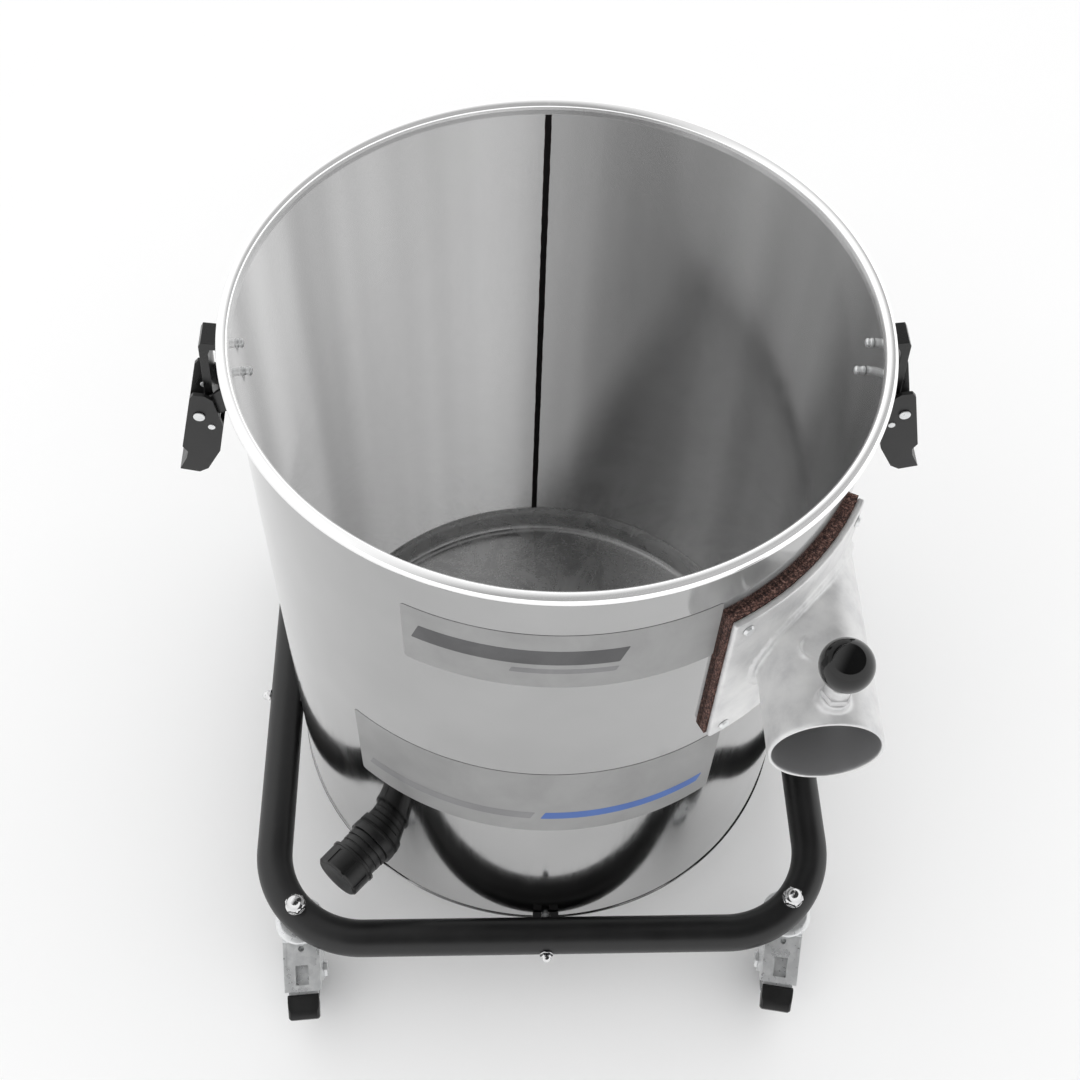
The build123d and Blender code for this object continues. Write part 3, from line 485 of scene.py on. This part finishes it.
def refined(node, width, steps=2, angle=30.0, name=None):
    """Copy of a CAD node with its flats merged and a soft bevel on every sharp edge."""
    bm = bmesh.new()
    bm.from_mesh(NODES[node].data)
    bmesh.ops.remove_doubles(bm, verts=bm.verts, dist=2e-6)
    bmesh.ops.dissolve_degenerate(bm, edges=bm.edges, dist=1e-6)
    bmesh.ops.dissolve_limit(bm, verts=bm.verts, edges=bm.edges, angle_limit=math.radians(0.6))
    mesh = as_mesh(name or f"{node}_fine", bm)
    holder = bpy.data.objects.new("holder", mesh)
    bpy.context.scene.collection.objects.link(holder)
    bevel = holder.modifiers.new("bevel", "BEVEL")
    bevel.width = width * MM
    bevel.segments = steps
    bevel.limit_method = "ANGLE"
    bevel.angle_limit = math.radians(angle)
    bevel.use_clamp_overlap = True
    bevel.miter_outer = "MITER_ARC"
    smooth(mesh, 35.0)
    even = holder.modifiers.new("even", "WEIGHTED_NORMAL")
    even.keep_sharp = False
    even.weight = 90
    final = baked(holder, mesh.name)
    show(final.name, final, node, angle=None)


def baked(holder, name):
    """The holder's mesh with its modifiers applied. The holder is removed."""
    bpy.context.view_layer.update()
    evaluated = holder.evaluated_get(bpy.context.evaluated_depsgraph_get())
    final = bpy.data.meshes.new_from_object(evaluated)
    old = holder.data
    bpy.data.objects.remove(holder)
    bpy.data.meshes.remove(old)
    final.name = name
    return final


def cast(node, voxel, rounds, name):
    """Copy of a CAD node remeshed and smoothed, so every corner is round, as a casting's are."""
    mesh = NODES[node].data.copy()
    holder = bpy.data.objects.new("holder", mesh)
    bpy.context.scene.collection.objects.link(holder)
    remesh = holder.modifiers.new("remesh", "REMESH")
    remesh.mode = "VOXEL"
    remesh.voxel_size = voxel * MM
    ease = holder.modifiers.new("ease", "SMOOTH")
    ease.factor = 0.5
    ease.iterations = rounds
    thin = holder.modifiers.new("thin", "DECIMATE")
    thin.ratio = 0.5
    final = baked(holder, name)
    show(name, final, node, angle=60.0)
    return final


# ---- drum -----------------------------------------------------------------------------------
def drum_outline():
    points = [(WALL_IN, DRUM_Z), (WALL_OUT + 0.8, DRUM_Z), (WALL_OUT + 1.0, DRUM_Z + 0.3),
              (WALL_OUT + 1.0, DRUM_Z + 2.0), (WALL_OUT + 0.6, DRUM_Z + 2.4), (WALL_OUT, DRUM_Z + 2.5)]
    rows = 24
    start = math.acos((WALL_OUT - BEAD_CENTRE) / BEAD_R)
    wall_top = BEAD_Z - BEAD_R * math.sin(start)
    for row in range(1, rows + 1):
        points.append((WALL_OUT, DRUM_Z + 2.5 + (wall_top - DRUM_Z - 2.5) * row / rows))
    turns = 30
    for step in range(1, turns + 1):
        angle = -start + (start + math.radians(172)) * step / turns
        points.append((BEAD_CENTRE + BEAD_R * math.cos(angle), BEAD_Z + BEAD_R * math.sin(angle)))
    inner_top = BEAD_Z - 0.8
    for row in range(rows):
        points.append((WALL_IN, inner_top - (inner_top - DRUM_Z) * row / rows))
    return points


def bar_cutter(bm, radius, start, end, place, segments=64):
    turn(bm, [(0, start), (radius, start), (radius, end), (0, end)], segments, place)


def build_shell():
    bm = bmesh.new()
    turn(bm, drum_outline(), 360)
    mesh = as_mesh("drum_body", bm)
    holder = bpy.data.objects.new("holder", mesh)
    bpy.context.scene.collection.objects.link(holder)
    cuts = bmesh.new()
    heading = math.radians(PORT_ANGLE)
    direction = Vector((-math.sin(heading), math.cos(heading), 0))
    frame_turn = direction.to_track_quat("Z", "Y").to_matrix().to_4x4()
    bar_cutter(cuts, 36.25, 0, 60, Matrix.Translation(INLET * MM) @ frame_turn, 96)
    bar_cutter(cuts, 16.05, 200, 250, outward(DRAIN_ANGLE, DRAIN_Z))
    for side in (-90, 90):
        for drop in (52, 23):
            bar_cutter(cuts, 2.45, 210, 240, outward(side, BEAD_Z - drop), 32)
    for angle in (31, 61):
        for rise in (-64.5, 64.5):
            bar_cutter(cuts, 2.55, 215, 235, outward(angle, INLET.z + rise), 32)
    cutter = bpy.data.objects.new("cutter", as_mesh("cutter", cuts))
    bpy.context.scene.collection.objects.link(cutter)
    cut = holder.modifiers.new("cut", "BOOLEAN")
    cut.object = cutter
    cut.operation = "DIFFERENCE"
    cut.solver = "EXACT"
    final = baked(holder, "drum_body")
    bpy.data.objects.remove(cutter)
    final.shade_smooth()
    exact_normals(final)
    show("drum_body", final, "drum_shell", angle=None)


def exact_normals(mesh):
    """Gives the rolled wall and bead their true normals, so reflections stay clean round the holes."""
    normals = [None] * len(mesh.loops)
    for face in mesh.polygons:
        middle = face.center / MM
        radial = Vector((middle.x, middle.y, 0)).normalized()
        facing = face.normal.dot(radial)
        from_bead = Vector((Vector((middle.x, middle.y)).length - BEAD_CENTRE, middle.z - BEAD_Z))
        on_bead = abs(from_bead.length - BEAD_R) < 0.12 and middle.z > BEAD_Z - 4
        on_wall = abs(facing) > 0.98 and DRUM_Z + 2.5 < middle.z
        for loop in face.loop_indices:
            spot = mesh.vertices[mesh.loops[loop].vertex_index].co / MM
            out = Vector((spot.x, spot.y, 0)).normalized()
            if on_bead:
                centre = out * BEAD_CENTRE + Vector((0, 0, BEAD_Z))
                normals[loop] = (spot - centre).normalized()
            elif on_wall:
                normals[loop] = out if facing > 0 else -out
            else:
                normals[loop] = face.normal.copy()
    mesh.normals_split_custom_set(normals)


def build_base():
    floor = base_low.z
    lip = base_high.z
    inner = WALL_IN - WALL_GAP - 1.2
    foot = inner - 6.2
    neck = DRUM_Z - 0.5
    points = [(0, floor), (foot + 0.9, floor), (WALL_IN - WALL_GAP, neck), (WALL_IN - WALL_GAP, lip),
              (inner, lip), (inner, neck), (foot, floor + 1.2), (0, floor + 1.2)]
    outline = softened(points, [0, 7.0, 4.0, 0.45, 0.45, 4.0, 6.5, 0], 8)
    bm = bmesh.new()
    turn(bm, outline, 256)
    show("drum_bottom", as_mesh("drum_bottom", bm), "drum_base", "drum_floor", angle=50.0)


def ribbon(bm, low, high, back, rise, outside):
    """Bead of sealant up the back of the drum, slightly uneven along its edges."""
    rows = int((high - low) / 2.5)
    across = 8
    rings = []
    for row in range(rows + 1):
        z = low + (high - low) * row / rows
        wander = 0.25 * noise.noise(Vector((0.3, z / 17.0, back)))
        half = 2.7 + 0.3 * noise.noise(Vector((4.7, z / 6.0, back)))
        crown = []
        under = []
        for step in range(across + 1):
            share = -1 + 2 * step / across
            ripple = 0.85 + 0.15 * noise.noise(Vector((z / 9.0, 2.0, 0)))
            lift = rise * math.sqrt(max(0.0, 1 - share ** 4)) * ripple
            y = back + (lift if outside else -lift)
            crown.append(bm.verts.new(Vector((wander + share * half, y, z)) * MM))
            sunk = back + (-0.02 if outside else 0.02)
            under.append(bm.verts.new(Vector((wander + share * half, sunk, z)) * MM))
        rings.append(crown + under[::-1])
    count = len(rings[0])
    for this, following in zip(rings, rings[1:]):
        for index in range(count):
            after = (index + 1) % count
            bm.faces.new((this[index], this[after], following[after], following[index]))
    bm.faces.new(rings[0])
    bm.faces.new(rings[-1][::-1])


def build_seam():
    low, high = box_mm("drum_seam")
    bm = bmesh.new()
    ribbon(bm, low.z, high.z, WALL_IN - 0.03, 0.55, False)
    ribbon(bm, LOOP_Z + 10, high.z, WALL_OUT + 0.05, 0.42, True)
    show("seam_bead", as_mesh("seam_bead", bm), "drum_seam", angle=50.0)


def patch(bm, span, low, high, radius, thickness, corner, slant=0.0):
    """Thin curved sheet on the drum wall with rounded corners and ends that lean by slant, in mm."""
    start, end = (math.radians(a) * radius for a in span)
    rows = []
    steps = 8
    heights = [low + corner * (1 - math.cos(math.pi / 2 * k / steps)) for k in range(steps + 1)]
    heights += [high - corner * (1 - math.cos(math.pi / 2 * (steps - k) / steps)) for k in range(steps + 1)]
    columns = max(12, int((end - start) / 2.5))
    for z in heights:
        edge = min(z - low, high - z)
        inset = corner - math.sqrt(max(0.0, corner ** 2 - max(0.0, corner - edge) ** 2))
        lean = slant * ((z - low) / (high - low) - 0.5)
        row = []
        for column in range(columns + 1):
            along = start + inset + lean + (end - start - 2 * inset) * column / columns
            angle = along / radius
            for reach in (radius, radius + thickness):
                row.append(bm.verts.new(Vector((reach * math.sin(angle), -reach * math.cos(angle), z)) * MM))
        rows.append(row)
    for this, following in zip(rows, rows[1:]):
        for column in range(columns):
            a, b = 2 * column, 2 * column + 2
            bm.faces.new((this[a + 1], this[b + 1], following[b + 1], following[a + 1]))
            bm.faces.new((this[a], following[a], following[b], this[b]))
        last = 2 * columns
        bm.faces.new((this[0], this[1], following[1], following[0]))
        bm.faces.new((this[last], following[last], following[last + 1], this[last + 1]))
    for row in (rows[0], rows[-1]):
        for column in range(columns):
            a, b = 2 * column, 2 * column + 2
            bm.faces.new((row[a], row[b], row[b + 1], row[a + 1]))


def build_labels():
    upper = (-27.9, 26.9)
    lower = (-41.9, 33.9)
    for node, span, corner in (("label_upper", upper, 3.0), ("label_lower", lower, 3.0)):
        low, high = box_mm(node)
        bm = bmesh.new()
        patch(bm, span, low.z, high.z, WALL_OUT + 0.05, 0.2, corner)
        show(f"{node}_film", as_mesh(node, bm), node, angle=50.0)
    low, high = box_mm("label_upper")
    bars = [("print_bar_upper", (-25.5, 10.0), high.z - 36, high.z - 19, "print_grey", "label_upper"),
            ("print_rule_upper", (-9.0, 9.0), high.z - 47, high.z - 41.5, "print_mid", "label_upper")]
    low, high = box_mm("label_lower")
    bars += [("print_bar_lower", (-39.0, -4.0), low.z + 22, low.z + 33, "print_mid", "label_lower"),
             ("print_bar_blue", (-2.0, 31.0), low.z + 22, low.z + 33, "print_blue", "label_lower")]
    for name, span, bottom, top, ink, node in bars:
        bm = bmesh.new()
        patch(bm, span, bottom, top, WALL_OUT + 0.26, 0.04, 1.0, (top - bottom) * 0.35)
        add_on(name, as_mesh(name, bm), node, PRINTS[ink], 50.0)


# ---- loop -----------------------------------------------------------------------------------
def build_loop():
    centre = LOOP_HALF - LOOP_CORNER
    track = []
    for quarter in range(4):
        turn_by = math.radians(90 * quarter)
        spin = Matrix.Rotation(turn_by, 2)
        for step in range(12):
            along = -centre + 2 * centre * step / 12
            track.append((spin @ Vector((along, -LOOP_HALF)), spin @ Vector((0, -1))))
        for step in range(28):
            angle = math.radians(-90 + 90 * step / 28)
            ray = Vector((math.cos(angle), math.sin(angle)))
            track.append((spin @ (Vector((centre, -centre)) + ray * LOOP_CORNER), spin @ ray))
    bm = bmesh.new()
    sides = 56
    rings = []
    for spot, out in track:
        ring = []
        for side in range(sides):
            angle = 2 * math.pi * side / sides
            level = Vector((spot.x, spot.y, LOOP_Z))
            reach = Vector((out.x, out.y, 0)) * math.cos(angle) + Vector((0, 0, 1)) * math.sin(angle)
            ring.append(bm.verts.new((level + reach * TUBE_R) * MM))
        rings.append(ring)
    for index, ring in enumerate(rings):
        following = rings[(index + 1) % len(rings)]
        for side in range(sides):
            after = (side + 1) % sides
            bm.faces.new((ring[side], ring[after], following[after], following[side]))
    show("loop_tube", as_mesh("loop_tube", bm), "base_loop", angle=60.0)


def acorn(bm, place, across, hexagon, dome, flange_rise=1.2):
    """Acorn nut: thin round flange, hexagon with its corners turned down, and a domed cap."""
    flat = across / 2
    outline = softened([(0, 0), (flat * 1.11, 0), (flat * 1.11, flange_rise), (flat, flange_rise + 0.3)],
                       [0, 0.25, 0.4, 0], 3)
    sized = {}
    for step in range(9):
        height = flange_rise + 0.3 + (hexagon - flange_rise - 0.3) * step / 8
        near_end = max(0.0, height - (hexagon - 1.4)) / 1.4
        sized[len(outline)] = flat * (1.155 - 0.20 * near_end ** 1.6)
        outline.append((flat, height))
    for step in range(1, 15):
        angle = math.radians(90 * step / 14)
        lift = dome * math.sin(angle)
        outline.append((flat * 0.90 * math.cos(angle) if step < 14 else 0, hexagon + 0.15 + lift))

    def hexed(angle, radius, height, index):
        if index not in sized:
            return radius
        turned = (angle + math.pi / 6) % (math.pi / 3) - math.pi / 6
        return min(flat / math.cos(turned), sized[index])

    turn(bm, outline, 96, place, hexed)


def build_fasteners():
    bm = bmesh.new()
    seat = LOOP_HALF + TUBE_R + 0.05
    for quarter in (0, 90, 180, 270):
        place = outward(quarter, LOOP_Z) @ Matrix.Translation((0, 0, seat * MM))
        acorn(bm, place, 10.0, 4.0, 4.4, 1.0)
    show("stud_nuts", as_mesh("stud_nuts", bm), "frame_dome_nuts")
    bm = bmesh.new()
    for corner in CORNERS:
        x, y, _ = JOINTS[f"caster_{corner}_swivel"]["pos_m"]
        twist = Matrix.Rotation(math.radians(17 if x < 0 else 8), 4, "Z")
        place = Matrix.Translation((x, y, (LOOP_Z + TUBE_R + 0.05) * MM)) @ twist
        acorn(bm, place, 16.0, 6.5, 7.4)
    show("caster_nuts", as_mesh("caster_nuts", bm), "caster_acorn_nuts")


# ---- casters --------------------------------------------------------------------------------
def joint_frame(name):
    """Frame at a joint's place with Z along its axis."""
    joint = JOINTS[name]
    axis = Vector(joint["axis"])
    return Matrix.Translation(joint["pos_m"]) @ axis.to_track_quat("Z", "Y").to_matrix().to_4x4()


def build_wheels():
    for corner in CORNERS:
        place = joint_frame(f"caster_{corner}_roll")
        half = 10.0
        points = [(23.05, -half + 1.0), (28.5, -half), (31.0, -half + 4.5), (31.0, half - 4.5), (28.5, half),
                  (23.05, half - 1.0)]
        bm = bmesh.new()
        turn(bm, softened(points, [0.3, 1.6, 3.0, 3.0, 1.6, 0.3], 6), 128, place)
        node = f"caster_{corner}_tread"
        show(f"caster_{corner}_tyre", as_mesh(node, bm), node, angle=40.0)
        core = [(4.1, -half - 2), (8, -half - 2), (8.6, -half + 2.4), (19.2, -half + 3.2), (20, -half + 1),
                (22.95, -half + 1), (22.95, half - 1), (20, half - 1), (19.2, half - 3.2), (8.6, half - 2.4),
                (8, half + 2), (4.1, half + 2)]
        bm = bmesh.new()
        turn(bm, softened(core, 0.6, 3), 96, place)
        node = f"caster_{corner}_hub"
        show(f"caster_{corner}_core", as_mesh(node, bm), node, angle=40.0)


def build_casters():
    for corner in CORNERS:
        refined(f"caster_{corner}_fork", 0.5)
        refined(f"caster_{corner}_axle", 0.4)
        refined(f"caster_{corner}_pedal", 0.35)
        refined(f"caster_{corner}_pedal_tip", 1.1, 3)
    build_wheels()
    bm = bmesh.new()
    for corner in CORNERS:
        x, y, _ = JOINTS[f"caster_{corner}_swivel"]["pos_m"]
        low, high = box_mm("caster_race_cups")
        points = [(5.1, low.z), (17.0, low.z), (21.0, low.z), (22.0, low.z + 1.2), (22.0, low.z + 3.3),
                  (18.0, high.z), (5.1, high.z)]
        turn(bm, softened(points, [0, 0, 0.5, 0.6, 1.2, 1.0, 0], 4), 96, Matrix.Translation((x, y, 0)))
    show("caster_cups", as_mesh("caster_cups", bm), "caster_race_cups", angle=40.0)


# ---- inlet ----------------------------------------------------------------------------------
def build_inlet():
    cast("inlet_casting", 1.3, 7, "inlet_duct")
    refined("inlet_gasket", 0.5)
    refined("inlet_fasteners", 0.3)
    refined("lock_guide", 0.5)
    low, high = box_mm("lock_knob")
    centre = (low + high) / 2
    ball = high.x - centre.x
    middle = high.z - ball
    points = [(4.1, middle + 6)]
    points += [(4.1, low.z), (6.0, low.z)]
    first = math.asin((low.z - middle) / ball)
    for step in range(37):
        angle = first + (math.pi / 2 - first) * step / 36
        points.append((ball * math.cos(angle) if step < 36 else 0, middle + ball * math.sin(angle)))
    points.append((0, middle + 6))
    bm = bmesh.new()
    turn(bm, points, 96, Matrix.Translation((centre.x * MM, centre.y * MM, 0)))
    show("lock_ball", as_mesh("lock_ball", bm), "lock_knob", angle=40.0)


# ---- drain ----------------------------------------------------------------------------------
def build_drain():
    refined("drain_fitting", 0.45)
    refined("drain_cap", 0.7)
    refined("drain_locknut", 0.5)


# ---- latches --------------------------------------------------------------------------------
def build_latches():
    for side in ("left", "right"):
        refined(f"latch_{side}_base", 0.5)
        refined(f"latch_{side}_lever", 0.9, 3)
        refined(f"latch_{side}_claw", 0.9, 3)
        refined(f"latch_{side}_pins", 0.4)
    bm = bmesh.new()
    for side in (-90, 90):
        for drop, tail in ((52, 8.0), (23, 6.0)):
            inner = WALL_IN - tail
            points = [(0, inner), (2.2, inner), (3.3, inner + 1.3), (3.3, inner + 2.4),
                      (2.5, inner + 0.5 * tail), (3.3, WALL_IN - 2.0),
                      (3.3, WALL_IN - 0.4), (2.4, WALL_IN - 0.3), (2.4, WALL_OUT + 2.6),
                      (4.6, WALL_OUT + 2.65), (4.4, WALL_OUT + 3.3), (2.6, WALL_OUT + 4.0),
                      (0, WALL_OUT + 4.05)]
            sizes = [0, 1.2, 0.9, 0.9, 1.6, 0.8, 0.4, 0, 0, 0.1, 0.7, 1.5, 0]
            turn(bm, softened(points, sizes, 5), 48, outward(side, BEAD_Z - drop))
    show("rivets", as_mesh("rivets", bm), "latch_rivets", angle=40.0)


build_shell()
build_base()
build_seam()
build_labels()
build_loop()
build_fasteners()
build_casters()
build_inlet()
build_drain()
build_latches()

for node, thing in NODES.items():
    if not thing.hide_render:
        thing.data.materials.clear()
        thing.data.materials.append(MATERIALS[SLOTS[node]])


# ---- camera, floor and light ----------------------------------------------------------------
scene = bpy.context.scene
scene.view_settings.view_transform = "Standard"
lens = bpy.data.cameras.new("view")
lens.sensor_width = 36.0
lens.lens = 49.14
camera = bpy.data.objects.new("view", lens)
scene.collection.objects.link(camera)
right = Vector((0.9994, -0.0248, 0.0256))
up = Vector((0.0055, 0.8172, 0.5763))
back = Vector((-0.0352, -0.5758, 0.8168))
facing = Matrix((right, up, back)).transposed().to_4x4()
camera.matrix_world = Matrix.Translation((-0.0490, -0.7073, 1.3687)) @ facing
scene.camera = camera

bm = bmesh.new()
bmesh.ops.create_grid(bm, x_segments=8, y_segments=8, size=6.0)
floor = bpy.data.objects.new("studio_floor", as_mesh("studio_floor", bm))
g = Graph("studio_floor")
paper = g.ramp(g.noise(1.3, 3.0, 0.5), [(0.3, (0.925, 0.925, 0.925)), (0.7, (0.945, 0.945, 0.945))])
g.set(colour=paper, rough=0.9, spec=0.1)
floor.data.materials.append(g.material)
scene.collection.objects.link(floor)

world = bpy.data.worlds.new("studio")
scene.world = world
world.use_nodes = True
world.node_tree.nodes["Background"].inputs["Color"].default_value = (0.98, 0.98, 0.98, 1.0)
world.node_tree.nodes["Background"].inputs["Strength"].default_value = 1.10


HOOD_RADIUS = 3.2
HOOD_EDGE = 0.5
HOOD_POWER = 1.15
LIT_SIDE = Vector((-0.866, 0.5))
HOOD_TONES = [(0.0, 0.05), (0.42, 0.03), (0.50, 0.16), (0.58, 0.38), (0.72, 0.78), (0.85, 1.0)]
BEAM_POWER = 1900.0
BEAM_SPREAD = math.radians(17.0)
BEAM_BLEND = 0.7
BEAM_SOFTNESS = 0.16
BEAM_SPOT = Vector((1.1, -0.85, 2.75))
BEAM_AIM = Vector((-0.02, 0.0, 0.60))


def softbox(name, spot, aim, size, power):
    light = bpy.data.lights.new(name, "AREA")
    light.shape = "RECTANGLE"
    light.size, light.size_y = size
    light.energy = power
    lamp = bpy.data.objects.new(name, light)
    lamp.location = spot
    lamp.rotation_euler = (Vector(aim) - Vector(spot)).to_track_quat("-Z", "Y").to_euler()
    lamp.visible_glossy = False
    scene.collection.objects.link(lamp)


def studio_hood():
    """Upper half of the studio, seen only in reflections: lit at the back left, dark at the front right."""
    mesh = bmesh.new()
    bmesh.ops.create_uvsphere(mesh, u_segments=64, v_segments=48, radius=HOOD_RADIUS)
    low = [v for v in mesh.verts if v.co.z < HOOD_RADIUS * HOOD_EDGE]
    bmesh.ops.delete(mesh, geom=low, context="VERTS")
    hood = bpy.data.objects.new("studio_hood", as_mesh("studio_hood", mesh))
    shade = Graph("studio_hood")
    x, y, _ = shade.split()
    towards = shade.math("ADD", shade.math("MULTIPLY", x, LIT_SIDE.x), shade.math("MULTIPLY", y, LIT_SIDE.y))
    glow = shade.ramp(shade.between(towards, 0.0, 1.0, -HOOD_RADIUS, HOOD_RADIUS), HOOD_TONES)
    shade.set(colour=(0.0, 0.0, 0.0), rough=1.0, spec=0.0)
    shade.feed(shade.shader.inputs["Emission Color"], glow)
    shade.shader.inputs["Emission Strength"].default_value = HOOD_POWER
    hood.data.materials.append(shade.material)
    scene.collection.objects.link(hood)
    hood.visible_camera = False
    hood.visible_diffuse = False
    hood.visible_shadow = False


def beam_into_drum():
    """Narrow lamp over the front right that lights only the drum, mostly its left inner wall."""
    light = bpy.data.lights.new("beam", "SPOT")
    light.energy = BEAM_POWER
    light.spot_size = BEAM_SPREAD
    light.spot_blend = BEAM_BLEND
    light.shadow_soft_size = BEAM_SOFTNESS
    lamp = bpy.data.objects.new("beam", light)
    lamp.location = BEAM_SPOT
    lamp.rotation_euler = (BEAM_AIM - BEAM_SPOT).to_track_quat("-Z", "Y").to_euler()
    lamp.visible_glossy = False
    scene.collection.objects.link(lamp)
    lit = bpy.data.collections.new("lit_by_beam")
    lit.objects.link(bpy.data.objects["drum_body"])
    lamp.light_linking.receiver_collection = lit


studio_hood()
beam_into_drum()
softbox("fill", (-1.3, -1.2, 1.8), (0, 0, 0.3), (0.8, 1.2), 2.0)
